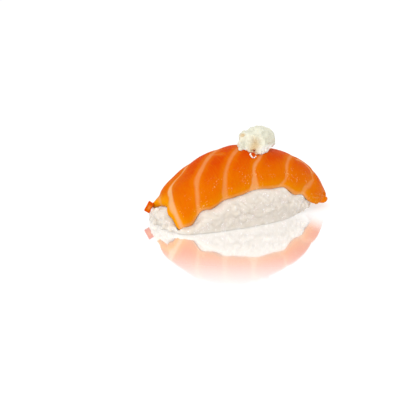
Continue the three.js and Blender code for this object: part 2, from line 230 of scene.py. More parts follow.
def station(values, t):
    """A Catmull-Rom curve through evenly spaced stations, read at t from 0 to 1, which runs straight on at
    both ends."""
    values = np.asarray(values, float)
    last = len(values) - 1
    padded = np.concatenate(([2 * values[0] - values[1]], values, [2 * values[-1] - values[-2]]))
    place = np.asarray(t, float) * last
    i = np.clip(np.floor(place).astype(int), 0, last - 1)
    f = place - i
    a, b, c, d = padded[i], padded[i + 1], padded[i + 2], padded[i + 3]
    return 0.5 * (2 * b + (c - a) * f + (2 * a - 5 * b + 4 * c - d) * f**2 + (3 * b - a - 3 * c + d) * f**3)


def smooth(low, high, x):
    """0 below low, 1 above high, and 3s^2 - 2s^3 of the share s between them."""
    s = np.clip((x - low) / (high - low), 0, 1)
    return s * s * (3 - 2 * s)


def bell(x, middle, width):
    """1 at the middle, falling off by the exponential of the square of the way from it over the width."""
    return np.exp(-(((x - middle) / width) ** 2))


def eased(pairs, x):
    """Numbers given at a few places, read at x: between two places they change by 3s^2 - 2s^3."""
    places, values = np.array(pairs).T
    i = np.clip(np.searchsorted(places, x) - 1, 0, len(places) - 2)
    return values[i] + (values[i + 1] - values[i]) * smooth(places[i], places[i + 1], x)


def lattice_random(corner, seed):
    """A number from 0 to 1 for each whole-number corner, from its coordinates mixed by large primes."""
    n = (corner[..., 0] * 73856093) ^ (corner[..., 1] * 19349663) ^ (corner[..., 2] * 83492791)
    n = n ^ (seed * 9973)
    n = ((n ^ (n >> 13)) & 0x7FFFFFFF) * 1274126177
    return ((n ^ (n >> 16)) & 0xFFFF) / 0xFFFF


def lumps(points, size, seed):
    """Smooth random relief from -1 to 1, its bumps about `size` apart: random values at the corners of a
    cubic lattice, blended between corners by 6f^5 - 15f^4 + 10f^3 along each axis."""
    place = np.asarray(points, float) / size + 512.0
    cell = np.floor(place).astype(np.int64)
    f = place - cell
    f = f**3 * (f * (6 * f - 15) + 10)
    total = np.zeros(place.shape[:-1])
    for corner in np.ndindex(2, 2, 2):
        weight = np.prod(np.where(corner, f, 1 - f), axis=-1)
        total += weight * lattice_random(cell + corner, seed)
    return 2 * total - 1


def ragged(points, size, octaves, seed):
    """Relief with detail at several sizes: lumps of each octave half the size and half the height of the
    last, each octave's lattice turned so that their cells never line up."""
    turned = np.asarray(points, float)
    turn = np.array(((0.36, 0.48, -0.8), (-0.8, 0.6, 0.0), (0.48, 0.64, 0.6)))
    total = np.zeros(turned.shape[:-1])
    for octave in range(octaves):
        total += lumps(turned, size / 2**octave, seed + octave) / 2**octave
        turned = turned @ turn
    return total


def relief_of(points, parts):
    """The sum of several lumps, each given by its size, height and seed."""
    return sum(height * lumps(points, size, seed) for size, height, seed in parts)


def unit(vectors):
    """Each vector over its length."""
    return vectors / np.linalg.norm(vectors, axis=-1, keepdims=True)


def normal_of(surface, a, b):
    """A surface's outward normal, across its slopes over small steps of both parameters."""
    along = surface(a + STEP, b) - surface(a - STEP, b)
    across = surface(a, b + STEP) - surface(a, b - STEP)
    return unit(np.cross(across, along))


def towards(ways, way, width):
    """1 in the direction `way`, falling off round it by the exponential of the cosine's shortfall over the
    width."""
    return np.exp(-(1 - ways @ unit(np.array(way))) / width)


def turned_about(axis, angle):
    """The rotation by `angle` about y or z, as rows that multiply points from the right."""
    c, s = math.cos(angle), math.sin(angle)
    return np.array(((c, 0, -s), (0, 1, 0), (s, 0, c)) if axis == "y" else ((c, s, 0), (-s, c, 0), (0, 0, 1)))


# ---- Meshes ----

def add_object(name, data):
    """An object in the scene, at the origin."""
    thing = bpy.data.objects.new(name, data)
    bpy.context.scene.collection.objects.link(thing)
    return thing


def add_piece(name, points, faces, material, lay=None, **attributes):
    """A smooth-shaded object from points in millimetres and faces of four corners, where a third corner
    given twice makes a triangle. Points that no face uses are dropped. Attributes are one number for each
    point or for all, and `lay` is two for each, for patterns that follow the surface."""
    used, faces = np.unique(faces, return_inverse=True)
    faces = faces.reshape(-1, 4)
    triangle = faces[:, 2] == faces[:, 3]
    sizes = np.where(triangle, 3, 4)
    keep = np.ones(faces.shape, bool)
    keep[:, 3] = ~triangle
    corners = faces[keep]
    mesh = bpy.data.meshes.new(name)
    mesh.vertices.add(len(used))
    mesh.vertices.foreach_set("co", (points[used] * MM).astype(np.float32).ravel())
    mesh.loops.add(len(corners))
    mesh.loops.foreach_set("vertex_index", corners.astype(np.int32))
    mesh.polygons.add(len(faces))
    mesh.polygons.foreach_set("loop_start", (np.cumsum(sizes) - sizes).astype(np.int32))
    mesh.shade_smooth()
    mesh.update(calc_edges=True)
    for label, values in attributes.items():
        layer = mesh.attributes.new(label, "FLOAT", "POINT")
        values = np.broadcast_to(np.asarray(values, np.float32).ravel(), len(points))
        layer.data.foreach_set("value", values[used])
    if lay is not None:
        layer = mesh.uv_layers.new(name="lay")
        layer.data.foreach_set("uv", lay.reshape(-1, 2)[used][corners].astype(np.float32).ravel())
    mesh.materials.append(material)
    return add_object(name, mesh)


def ring_faces(rows, around):
    """Faces between each ring of `around` points and the next ring, closed round the ring."""
    a = np.arange(rows - 1)[:, None] * around + np.arange(around)[None, :]
    b = np.arange(rows - 1)[:, None] * around + (np.arange(around)[None, :] + 1) % around
    return np.stack((a, b, b + around, a + around), axis=-1).reshape(-1, 4)


def pole_faces(rows, around):
    """The same, where the first and the last ring are each one point, so their faces become triangles."""
    faces = ring_faces(rows, around)
    last = (rows - 1) * around
    faces = np.where(faces < around, 0, np.where(faces >= last, last, faces))
    first_band = faces[:around][:, [0, 2, 3, 3]]
    last_band = faces[-around:][:, [0, 1, 2, 2]]
    return np.concatenate((first_band, faces[around:-around], last_band))


def ball_grid(rings, around):
    """Directions over a ball, ring by ring from the top pole down, and its faces, looking outwards."""
    polar = np.linspace(0, math.pi, rings)[:, None]
    turn = -np.linspace(0, 2 * math.pi, around, endpoint=False)[None, :]
    across = (np.sin(polar) * np.cos(turn), np.sin(polar) * np.sin(turn), np.cos(polar))
    ways = np.stack(np.broadcast_arrays(*across), -1)
    return ways.reshape(-1, 3), pole_faces(rings, around)


def shares(points):
    """Slices that take all the points in turn, so many at a time."""
    return (slice(start, start + CHUNK) for start in range(0, len(points), CHUNK))


def over_wall(points, wall, normals):
    """For each point, the normal of the nearest of a wall's samples, how high it stands over that sample
    along the normal, and how far aside of it."""
    normal = np.empty(points.shape)
    height = np.empty(len(points))
    aside = np.empty(len(points))
    wall_square = (wall**2).sum(axis=1)
    for part in shares(points):
        nearest = (wall_square - 2 * points[part] @ wall.T).argmin(axis=1)
        normal[part] = normals[nearest]
        off = points[part] - wall[nearest]
        height[part] = (off * normal[part]).sum(axis=1)
        aside[part] = np.linalg.norm(off - height[part, None] * normal[part], axis=1)
    return normal, height, aside


def keep_off(points, wall, normals, side):
    """Points pushed off a wall of samples: where one comes closer than the clearance on the side given, 1
    outside or -1 inside, it is moved that far off along the nearest sample's normal."""
    normal, height, aside = over_wall(points, wall, normals)
    short = np.where(aside < WALL_REACH, np.clip(CLEARANCE - side * height, 0, None), 0)
    return points + side * short[:, None] * normal


# ---- The slice's surface ----

def slice_point(t, v):
    """The slice's outer face. Across it, from v = -1 at the back hem to 1 at the front hem, the section is
    an arc of sin and cos, stretched to the half width and to the drop from crown to hem."""
    t, v = np.broadcast_arrays(np.asarray(t, float), np.asarray(v, float))
    front = v > 0
    across = np.where(front, station(FRONT_W, t), station(BACK_W, t))
    hem_z = np.where(front, station(FRONT_Z, t), station(BACK_Z, t))
    lead = np.where(front, station(FRONT_SHIFT, t), station(BACK_SHIFT, t))
    hem_turn = station(HEM_TURN, t)
    turn = np.abs(v) * hem_turn
    out = (np.sin(turn) / np.sin(hem_turn)) ** SHOULDER
    down = (1 - np.cos(turn) ** SHOULDER) / (1 - np.cos(hem_turn) ** SHOULDER)
    crown_z = station(RIDGE_Z, t)
    bulge = np.where(front, station(FRONT_BULGE, t) * np.sin(math.pi * np.abs(v) ** BULGE_HIGH), 0)
    x = station(RIDGE_X, t) + lead * v * v + bulge
    return np.stack((x, -np.sign(v) * across * out, crown_z - (crown_z - hem_z) * down), axis=-1)


def side_length(t, v):
    """About how long the slice is from its crown down to the hem on v's side."""
    front = v > 0
    across = np.where(front, station(FRONT_W, t), station(BACK_W, t))
    hem_z = np.where(front, station(FRONT_Z, t), station(BACK_Z, t))
    return 1.1 * np.hypot(across, station(RIDGE_Z, t) - hem_z)


def full_thickness(v):
    """The thickness, which falls by the cube of v towards the hems."""
    return HEM_THICK + (SLICE_THICK - HEM_THICK) * (1 - np.abs(v) ** 3)


def edge_distance(t, v):
    """How far a place is from the nearest of the slice's four edges."""
    ends = np.minimum(t, 1 - t) * END_PACE
    return np.clip(np.minimum(ends, (1 - np.abs(v)) * side_length(t, v)), 0, None)


def half_thickness(t, v):
    """Half the thickness, closed off at each edge as a quarter of an ellipse."""
    short = 1 - np.clip(edge_distance(t, v) / EDGE_ROUND, 0, 1)
    return full_thickness(v) / 2 * np.sqrt(1 - short**2)


def inner_point(t, v, gap):
    """The slice's inner face, `gap` further in."""
    reach = -half_thickness(t, v) - full_thickness(v) / 2 - gap
    return slice_point(t, v) + normal_of(slice_point, t, v) * reach[..., None]


def hang(t, v, lift=0.0):
    """How each hem hangs: its droop and a little smooth relief, less the lift, down the slope, from half
    way down to the hem."""
    face = slice_point(t, v)
    droop = np.where(v > 0, eased(FRONT_DROOP, t), eased(BACK_DROOP, t)) + 0.15 * lumps(face, 3.0, 21) - lift
    return unit(face - slice_point(t, v * 0.98)) * (smooth(0.45, 1.0, np.abs(v)) * droop)[..., None]


def fat_line_fields(points):
    """For each point, how far it is outside the nearest fat line, and how pale that line is. A line is a
    row of close samples on the slice, and a point's way out is its distance to a sample, less half the
    breadth there, at its least."""
    nearest = np.full(len(points), 1e3)
    paleness = np.zeros(len(points))
    share = np.linspace(0, 1, LINE_SAMPLES)
    for n, (pale, course) in enumerate(FAT_LINES):
        t, v, breadth = (station(values, share) for values in zip(*course))
        line = slice_point(t + 0.0008 * np.sin(31 * share + 2.1 * n), v)
        breadth = breadth * (1 + 0.05 * np.sin(47 * share + 1.3 * n))
        for part in shares(points):
            away = np.linalg.norm(points[part, None, :] - line[None, :, :], axis=-1)
            gap = (away - breadth / 2).min(axis=1)
            closer = gap < nearest[part]
            nearest[part] = np.where(closer, gap, nearest[part])
            paleness[part] = np.where(closer, pale, paleness[part])
    return nearest, paleness


def make_salmon(material):
    """The slice as one closed skin: each row is a ring over the outer face from hem to hem and back along
    the inner face, and both ends close to a line. The outer face swells between fat lines and is uneven at
    three sizes, and each hem hangs by its droop. Also returns samples of both faces with their normals."""
    columns = SLICE_COLUMNS
    over = np.sin((np.arange(columns) / (columns - 1) - 0.5) * math.pi)
    across = np.concatenate((over, over[-2:0:-1]))[None, :]
    around = across.shape[1]
    even = (np.arange(SLICE_ROWS) / (SLICE_ROWS - 1))[:, None]
    near_hem = np.clip((np.abs(across) - CORNER_FROM) / (1 - CORNER_FROM), 0, 1)
    inset = CORNER_ROUND * (1 - np.sqrt(1 - near_hem**2)) / END_PACE
    denser_at_ends = 0.5 - 0.5 * np.cos(even * math.pi)
    t = inset + (1 - 2 * inset) * (even + DENSER * (denser_at_ends - even))
    v = np.broadcast_to(across, t.shape)
    share = np.abs(v)
    skin = slice_point(t, v)
    normal = normal_of(slice_point, t, v)
    top = skin[:, :columns]
    gap, paleness = (field.reshape(top.shape[:2]) for field in fat_line_fields(top.reshape(-1, 3)))
    mirror = np.concatenate((np.arange(columns), np.arange(columns - 2, 0, -1)))
    gap, paleness = gap[:, mirror], paleness[:, mirror]
    hung = skin + hang(t, v)
    end_way = unit(skin - slice_point(t + 0.01, v))
    hung = hung + end_way * (0.9 * bell(v, 0.28, 0.2) * smooth(0.1, 0.0, t))[..., None]
    outer = (np.arange(around) < columns)[None, :]
    half = np.where(np.minimum(even, 1 - even) <= 0, 0, half_thickness(t, v))
    inward = edge_distance(t, v)
    swell = BETWEEN_LINES * (1 - np.exp(-np.clip(gap, 0, None) / 1.8)) - 0.1 * smooth(0.2, -0.5, gap) - 0.35
    dip = 0.7 * bell(t, 0.25, 0.07) * bell(v, 0.0, 0.4)
    swell = swell * (0.35 + 0.65 * smooth(0.05, 0.5, share)) - dip
    uneven = relief_of(skin, UNEVEN)
    from_nub = np.linalg.norm(skin - NUB_AT, axis=-1)
    nub = NUB_RISE * smooth(NUB_REACH, 0.9, from_nub) - NUB_GROOVE * bell(from_nub - NUB_REACH, 0.3, 0.6)
    relief = np.where(outer, (swell + uneven) * smooth(0, 1.5, inward) + nub, 0)
    reach = np.where(outer, half, -half) - full_thickness(v) / 2 + relief
    points = hung + normal * reach[..., None]
    row, k = np.divmod(ring_faces(SLICE_ROWS, around), around)
    at_end_row = (row == 0) | (row == SLICE_ROWS - 1)
    faces = row * around + np.where(at_end_row & (k >= columns), around - k, k)
    line_gap = np.minimum(gap, np.abs(from_nub - NUB_REACH) - 0.1)
    # Redder over the crown, partly its own colour and partly painted shade, less so towards the ends and each
    # line, more so round the cheese, and painted shade on the steep back side far along.
    deep = smooth(0.0, 0.9, 1 - share) * (0.3 + 0.7 * smooth(0.1, 0.42, t))
    deep = deep * (1 - 0.35 * smooth(0.76, 0.95, t)) * (0.7 + 0.3 * smooth(0.3, 3.0, gap))
    deep = deep + 0.4 * smooth(13.0, 6.0, np.linalg.norm(skin - CHEESE_AT, axis=-1))
    # Painted shade on the steep back side far along.
    deep = deep + 0.8 * smooth(0.22, 0.0, v) * smooth(0.6, 0.78, t) * smooth(0.9, 0.82, t)
    piece = add_piece(
        "salmon_flesh", points.reshape(-1, 3), faces, material, lay=np.stack((t, v), axis=-1) * LAY_SIZE,
        line_gap=line_gap, line_pale=np.where(line_gap < gap, NUB_PALE, paleness), deep=deep,
        hem=(1 - share) * side_length(t, v) + 1.3 * smooth(0.72, 0.84, t), end=t * END_PACE,
        inside=np.broadcast_to(~outer, t.shape),
    )
    outer_wall = [field[::2, :columns:2].reshape(-1, 3) for field in (points, normal)]
    covers = inward[::2, columns - 1::2] > WALL_EDGE
    inner_wall = [field[::2, columns - 1::2][covers] for field in (points, normal)]
    return piece, outer_wall, inner_wall


def make_tab(material):
    """The tab: over a ball of directions, each is carried out to the box's faces, drawn in by the edge
    radius, and let out again by that radius along its own way, so the edges are round."""
    ways, faces = ball_grid(40, 60)
    half = np.array(TAB_SIZE) / 2
    on_box = ways / np.max(np.abs(ways) / half, axis=1)[:, None]
    core = np.clip(on_box, TAB_EDGE - half, half - TAB_EDGE)
    rim = np.sort(np.abs(on_box / half), axis=1)[:, 1]
    points = core + TAB_EDGE * unit(on_box - core) + ways * 0.15 * lumps(on_box, 1.6, 31)[:, None]
    points = points @ turned_about("y", TAB_LEAN) @ turned_about("z", TAB_TURN) + TAB_AT
    return add_piece(
        "salmon_tab", points, faces, material, lay=points[:, :2], line_gap=3 * (rim - 0.3), line_pale=0.3,
        deep=0.3 + 1.2 * rim**2, hem=8.0, end=9.0, inside=0,
    )


# ---- The rice's skin ----

def block_point(t, a):
    """The pressed block: a runs from -1 at the back foot over the top to 1 at the front foot. Under the
    slice it follows the slice's inner face, and below the hem it swells by a power of a sine to its widest
    and tucks in."""
    side = np.where(a < 0, -1.0, 1.0)
    v = np.clip(np.abs(a) / HEM_SHARE, 0.01, 1) * side
    point = inner_point(t, v, RICE_UNDER) + hang(t, v, RICE_LIFT)
    below = np.clip((np.abs(a) - HEM_SHARE) / (1 - HEM_SHARE), 0, None)
    widest = -side * np.where(a < 0, station(RICE_BACK_W, t), station(RICE_FRONT_W, t))
    swell = np.sin(np.clip(below / WIDEST, 0, 1) * math.pi / 2) ** FILLS_HEM
    tuck = np.clip((below - WIDEST) / (1 - WIDEST), 0, None) ** 2 * station(RICE_TUCK, t)
    y = point[..., 1] + (widest - point[..., 1]) * swell + side * tuck
    return np.stack((point[..., 0], y, point[..., 2] * (1 - below)), axis=-1)


def skin_point(s, a):
    """The block with its ends closed: s runs from pole to pole, and over the last share at each end the
    section shrinks by a power of the cosine while it moves out by the sine. At the far end each point is
    also drawn back by the square of how low it is."""
    s, a = np.broadcast_arrays(np.asarray(s, float), np.asarray(a, float))
    share = np.clip((s - DOME_SHARE) / (1 - 2 * DOME_SHARE), 0, 1)
    t = NEAR_END[0] + (FAR_END[0] - NEAR_END[0]) * share
    point = block_point(t, a)
    middle = block_point(t, np.full(t.shape, 0.7))[..., 0]
    near = s < 0.5
    beyond = np.clip(np.where(near, DOME_SHARE - s, s - 1 + DOME_SHARE) / DOME_SHARE, 0, 1) * math.pi / 2
    shrink = np.clip(np.cos(beyond), 0, None) ** np.where(near, *BLUNT)
    depth = np.where(near, -NEAR_END[1], FAR_END[1])
    pole_z = np.where(near, NEAR_END[2], FAR_END[2])
    x = middle + (point[..., 0] - middle) * shrink + depth * np.sin(beyond)
    z = pole_z + (point[..., 2] - pole_z) * shrink
    x = x - FAR_SLANT * np.clip(1 - z / pole_z, 0, 1) ** 2 * smooth(0.62, 0.92, s)
    return np.stack((x, point[..., 1] * shrink, z), axis=-1)


def skin_normal(s, a):
    """The outward normal of the block's skin, with s kept off the poles."""
    return normal_of(skin_point, np.clip(s, 2 * STEP, 1 - 2 * STEP), a)


def rice_core():
    """The block that the grains lie on: rings of skin from pole to pole, each closed by a straight run
    across the foot, drawn in below the hem but not at the foot, and lumpy."""
    rows, top, foot = 120, 110, 50
    s, a = np.meshgrid(np.linspace(0, 1, rows), np.linspace(-1, 1, top), indexing="ij")
    over = skin_point(s, a)
    drawn_in = CORE_SUNK * smooth(HEM_SHARE * 0.8, HEM_SHARE * 1.1, np.abs(a))
    drawn_in = drawn_in - (CORE_SUNK + FOOT_OUT) * smooth(3.2, 0.6, over[..., 2])
    over = over + skin_normal(s, a) * (relief_of(over, CORE_RELIEF) - drawn_in)[..., None]
    share = np.linspace(0, 1, foot + 2)[None, 1:-1, None]
    under = over[:, -1:, :] + (over[:, :1, :] - over[:, -1:, :]) * share
    points = np.concatenate((over, under), axis=1)
    points[..., 2] = np.maximum(points[..., 2], 0.15 + 0.1 * lumps(points * (1, 1, 0), 2.0, 43))
    points[0] = points[0].mean(axis=0)
    points[-1] = points[-1].mean(axis=0)
    return points.reshape(-1, 3), pole_faces(rows, top + foot)


def grain_shape():
    """One plump grain lying along x: a ball whose ends are blunt, one of them slimmer, bent by the square
    of the way along, with a shallow notch where the germ was. Also returns its faces."""
    ways, faces = ball_grid(8, 9)
    along = np.sign(ways[:, 2]) * np.abs(ways[:, 2]) ** 0.85
    slim = 1 - 0.14 * along
    notch = 0.35 * bell(along, 0.75, 0.25) * np.clip(ways[:, 0], 0, None)
    y = ways[:, 0] * GRAIN_WIDTH / 2 * slim - notch - 0.35 * along**2
    z = ways[:, 1] * GRAIN_THICK / 2 * slim
    return np.stack((along * GRAIN_LENGTH / 2, y, z), axis=-1), faces


def scatter(places, ways, reach_along, reach_across):
    """Which places keep their grain: each in turn is kept if, measured along and across every grain kept
    so far, it lies outside that grain's own oval."""
    kept = np.empty(len(places), int)
    count = 0
    for n in range(len(places)):
        way = ways[kept[:count]]
        off = places[n] - places[kept[:count]]
        along = (off * way).sum(axis=1)
        rest = (off * off).sum(axis=1) - along**2
        if np.all((along / reach_along) ** 2 + rest / reach_across**2 >= 1):
            kept[count] = n
            count += 1
    return kept[:count]


def lay_grains(random, sunk, reach):
    """Grains over the block's open skin and its foot: places drawn at random, spread by `scatter`, each
    turned about the normal, tipped a little, and sunk. Returns their points, one row a grain, their middles
    and the ways they lie."""
    tries = GRAIN_TRIES
    s = 0.015 + 0.97 * random.random(tries)
    side = np.where(random.random(tries) < 0.5, -1.0, 1.0)
    a = side * (HEM_SHARE * 0.88 + (1 - HEM_SHARE * 0.88) * random.random(tries))
    on_foot = (random.random(tries) < ON_FOOT)[:, None]
    share = random.random(tries)[:, None]
    foot = skin_point(s, np.ones(tries)) * share + skin_point(s, -np.ones(tries)) * (1 - share)
    places = np.where(on_foot, foot * (0.965, 0.9, 0.0) + (0, 0, 0.35), skin_point(s, a))
    normals = np.where(on_foot, (0.0, 0.0, -1.0), skin_normal(s, a))
    normals = unit(normals + 0.16 * random.normal(size=(tries, 3)))
    heading = (random.random((tries, 1)) - 0.5) * np.where(on_foot, 2 * math.pi, GRAIN_SWING)
    level = unit(np.cross((0.013, 0.007, 1.0), normals))
    ways = level * np.cos(heading) + np.cross(normals, level) * np.sin(heading)
    fits = np.flatnonzero(on_foot[:, 0] | ((places[:, 2] > 0.8) & (normals[:, 2] < 0.85)))
    chosen = fits[scatter(places[fits], ways[fits], *reach)]
    places, normals, ways = places[chosen], normals[chosen], ways[chosen]
    count = len(chosen)
    shape = grain_shape()[0] * (0.88 + 0.2 * random.random((count, 1, 3)))
    shape = shape * np.where(random.random((count, 1, 1)) < 0.5, (-1, -1, 1), (1, 1, 1))
    middle = places - normals * (sunk + 0.35 * (random.random((count, 1)) - 0.5))
    across = np.cross(normals, ways)
    axes = np.stack((ways, across, normals), axis=1)
    return middle[:, None, :] + np.einsum("gpk,gkx->gpx", shape, axes), middle, ways


def comes_out(points, wall):
    """Which grains reach out through the flesh: those with a point that lies over a sample of its outer
    face."""
    height, aside = over_wall(points.reshape(-1, 3), *wall)[1:]
    return ((height > 0) & (aside < 0.7)).reshape(points.shape[:2]).any(axis=1)


def stuck_together(name, points, faces, material, spacing, rounds):
    """One closed skin over bodies that run into each other, its points one spacing apart, each then drawn
    half way to the middle of its neighbours as often as there are rounds. Returns its points and faces."""
    loose = add_piece(name, points, faces, material)
    skin = loose.modifiers.new("stuck", "REMESH")
    skin.mode = "VOXEL"
    skin.voxel_size = spacing * MM
    soft = loose.modifiers.new("soft", "SMOOTH")
    soft.factor = 0.5
    soft.iterations = rounds
    mesh = bpy.data.meshes.new_from_object(loose.evaluated_get(bpy.context.evaluated_depsgraph_get()))
    bpy.data.objects.remove(loose)
    points = np.empty(3 * len(mesh.vertices), np.float32)
    mesh.vertices.foreach_get("co", points)
    faces = np.empty(4 * len(mesh.polygons), np.int32)
    mesh.polygons.foreach_get("vertices", faces)
    bpy.data.meshes.remove(mesh)
    return points.reshape(-1, 3).astype(float) / MM, faces.reshape(-1, 4)


def nearest_grain(points, middles, ways):
    """For each point the grain whose oval it is nearest to, the share of the way out to that grain's tip,
    and how near it is to the seam with the next: 1 on the seam, less as the two distances differ."""
    chosen = np.empty(len(points), int)
    tip = np.empty(len(points))
    seam = np.empty(len(points))
    for part in shares(points):
        off = points[part, None, :] - middles[None]
        along = (off * ways[None]).sum(axis=2)
        rest = (off * off).sum(axis=2) - along**2
        away = np.sqrt((along / GRAIN_LENGTH) ** 2 + rest / GRAIN_WIDTH**2)
        best = away.argmin(axis=1)
        first, second = np.partition(away, 1, axis=1)[:, :2].T
        chosen[part] = best
        seam[part] = smooth(SEAM_WIDE, 0.0, second - first)
        tip[part] = np.abs(along[np.arange(len(best)), best]) * 2 / GRAIN_LENGTH
    return chosen, tip, seam


def make_rice(material, inner_wall, outer_wall):
    """Two layers of grains over the core, one a little deeper and closer set, all stuck together.
    None comes through the slice or the floor, on which the lowest are pressed flat."""
    random = np.random.default_rng(SEED)
    layers = [lay_grains(random, sunk, reach) for sunk, reach in RICE_LAYERS]
    grains, middles, ways = (np.concatenate(parts) for parts in zip(*layers))
    inside = ~comes_out(grains, outer_wall)
    grains, middles, ways = grains[inside], middles[inside], ways[inside]
    count, corners = grains.shape[:2]
    core, core_faces = rice_core()
    grain_faces = grain_shape()[1][None] + np.arange(count)[:, None, None] * corners
    points = np.concatenate((grains.reshape(-1, 3), core))
    faces = np.concatenate((grain_faces.reshape(-1, 4), core_faces + count * corners))
    points, faces = stuck_together("rice_grains", points, faces, material, RICE_SPACING, RICE_ROUNDS)
    grain, tip, seam = nearest_grain(points, middles, ways)
    points = points - unit(points - middles[grain]) * (SEAM_DEEP * seam)[:, None]
    points = keep_off(points, *inner_wall, -1)
    pressed = 0.05 + 0.04 * lumps(points * (1, 1, 0), 3.0, 52)
    points[:, 2] = np.maximum(points[:, 2] - 0.8 * smooth(1.7, 0.0, points[:, 2]), pressed)
    tone = random.normal(size=count)[grain] * 0.3 + 0.4 * lumps(points, 5.0, 44)
    return add_piece("rice_grains", points, faces, material, tone=tone, tip=tip, seam=seam)


# ---- The cheese's surface ----

def cheese_reach(ways):
    """How far the cheese reaches in each direction: the far crossing of each lump's sphere, blended by the
    tenth root of the sum of tenth powers, less a hollow and a notch."""
    total = np.zeros(len(ways))
    for x, y, z, radius in CHEESE_LUMPS:
        centre = np.array((x, y, z))
        along = ways @ centre
        under = radius * radius - centre @ centre + along * along
        reach = np.where(under > 0, along + np.sqrt(np.clip(under, 0, None)), 0)
        total += np.clip(reach, 0, None) ** CHEESE_BLEND
    hollow = HOLLOW_DEEP * towards(ways, CHEESE_HOLLOW, 0.06)
    notch = NOTCH_DEEP * towards(ways, CHEESE_NOTCH, 0.006)
    return total ** (1 / CHEESE_BLEND) - hollow - notch


def rough_balls(middles, rings, around):
    """Small balls about given middles, each reaching its radius times one plus a share of a ragged relief.
    Returns their points and faces."""
    ways, faces = ball_grid(rings, around)
    middle = np.array(middles)[:, None, :3]
    radius = np.array(middles)[:, None, 3:]
    rough = 1 + 0.35 * ragged(middle + ways[None] * radius, 0.5, 2, 81)[..., None]
    every = faces[None] + np.arange(len(middles))[:, None, None] * len(ways)
    return (middle + ways[None] * radius * rough).reshape(-1, 3), every.reshape(-1, 4)


def make_cheese(material, wall):
    """The lump: its reach, roughened by ragged relief and by upright folds where the relief changes sign,
    with a small pit and with torn bits round its lower edge. What would sink into the flesh lies on it."""
    ways, faces = ball_grid(200, 300)
    points = ways * cheese_reach(ways)[:, None]
    low = smooth(0.1, -0.45, ways[:, 2])
    upright = points * (1, 1, 0.45)
    fold = 1 - np.abs(ragged(upright, 2.6, 2, 65))
    relief = 0.4 * ragged(upright, 3.2, 3, 61) + 0.6 * (fold - 0.7) * (0.5 + low)
    points = points + ways * (relief - PIT_DEEP * towards(ways, CHEESE_PIT, 0.01))[:, None]
    points = points @ turned_about("z", CHEESE_TURN) + CHEESE_AT
    bits, bit_faces = rough_balls(BITS, 30, 40)
    faces = np.concatenate((faces, bit_faces + len(points)))
    points = np.concatenate((points, bits))
    points, faces = stuck_together("cheese_lump", points, faces, material, CHEESE_SPACING, 0)
    own = (points - CHEESE_AT) @ turned_about("z", CHEESE_TURN).T
    ways = unit(own)
    low = smooth(0.1, -0.45, ways[:, 2])
    relief = ragged(own, 1.1, 4, 71) * (0.2 + 0.25 * low)
    near = np.linalg.norm(wall[0] - CHEESE_AT, axis=1) < 13
    points = points + unit(points - CHEESE_AT) * relief[:, None]
    points = keep_off(points, wall[0][near], wall[1][near], 1)
    hollow = towards(unit(ways * (1, 1, 0.6)), CHEESE_HOLLOW, 0.1) * (0.9 + 0.2 * lumps(own, 2.2, 73))
    pit = towards(ways, CHEESE_PIT, 0.009)
    thin = towards(ways, CHEESE_NOTCH, 0.008)
    # How raised the surface is, for painted light on the ridges and painted shade in the dips.
    tone = 0.5 * ragged(own * (1, 1, 0.45), 3.2, 3, 61) + relief
    return add_piece(
        "cheese_lump", points, faces, material, hollow=hollow, pit=pit, thin=thin, low=low, relief=tone,
    )


def make_crumbs(material):
    """Crumbs of cheese in a short bent row below the lump."""
    points, faces = rough_balls(CRUMBS, 14, 18)
    return add_piece("cheese_crumbs", points, faces, material, hollow=0, pit=0, thin=0, low=1, relief=0)


# ---- Materials ----

def feed(tree, socket, value):
    """An output is linked to the socket; a number or a colour is set on it."""
    if isinstance(value, bpy.types.NodeSocket):
        tree.links.new(value, socket)
    else:
        socket.default_value = value


def set_inputs(tree, node, **inputs):
    """A node's inputs, each fed by its name."""
    for label, value in inputs.items():
        feed(tree, node.inputs[label.replace("_", " ")], value)


def put(tree, kind, **inputs):
    """A shader node of the kind, with its inputs fed."""
    node = tree.nodes.new("ShaderNode" + kind)
    set_inputs(tree, node, **inputs)
    return node


def maths(tree, operation, a, b):
    """One sum, difference or product."""
    node = put(tree, "Math")
    node.operation = operation
    feed(tree, node.inputs[0], a)
    feed(tree, node.inputs[1], b)
    return node.outputs["Value"]


def ramp(tree, value, low, high, out_low=0.0, out_high=1.0):
    """The value from low to high, turned smoothly into the range given."""
    node = put(tree, "MapRange", Value=value, From_Min=low, From_Max=high, To_Min=out_low, To_Max=out_high)
    node.interpolation_type = "SMOOTHSTEP"
    return node.outputs["Result"]


def blend(tree, factor, a, b):
    """Colour a where the factor is 0, and b where it is 1."""
    node = put(tree, "Mix")
    node.data_type = "RGBA"
    feed(tree, node.inputs["Factor"], factor)
    for label, colour in (("A_Color", a), ("B_Color", b)):
        socket = next(s for s in node.inputs if s.identifier == label)
        feed(tree, socket, (*colour, 1) if isinstance(colour, tuple) else colour)
    return next(s for s in node.outputs if s.type == "RGBA")


def tint(tree, colour, mask, low, high, most, to):
    """The colour, turned towards another by as much as `most`, where the mask goes from low to high."""
    return blend(tree, ramp(tree, mask, low, high, 0.0, most), colour, to)


def attribute(tree, name):
    """A piece's own number at each point, by its name."""
    node = put(tree, "Attribute")
    node.attribute_name = name
    return node.outputs["Fac"]


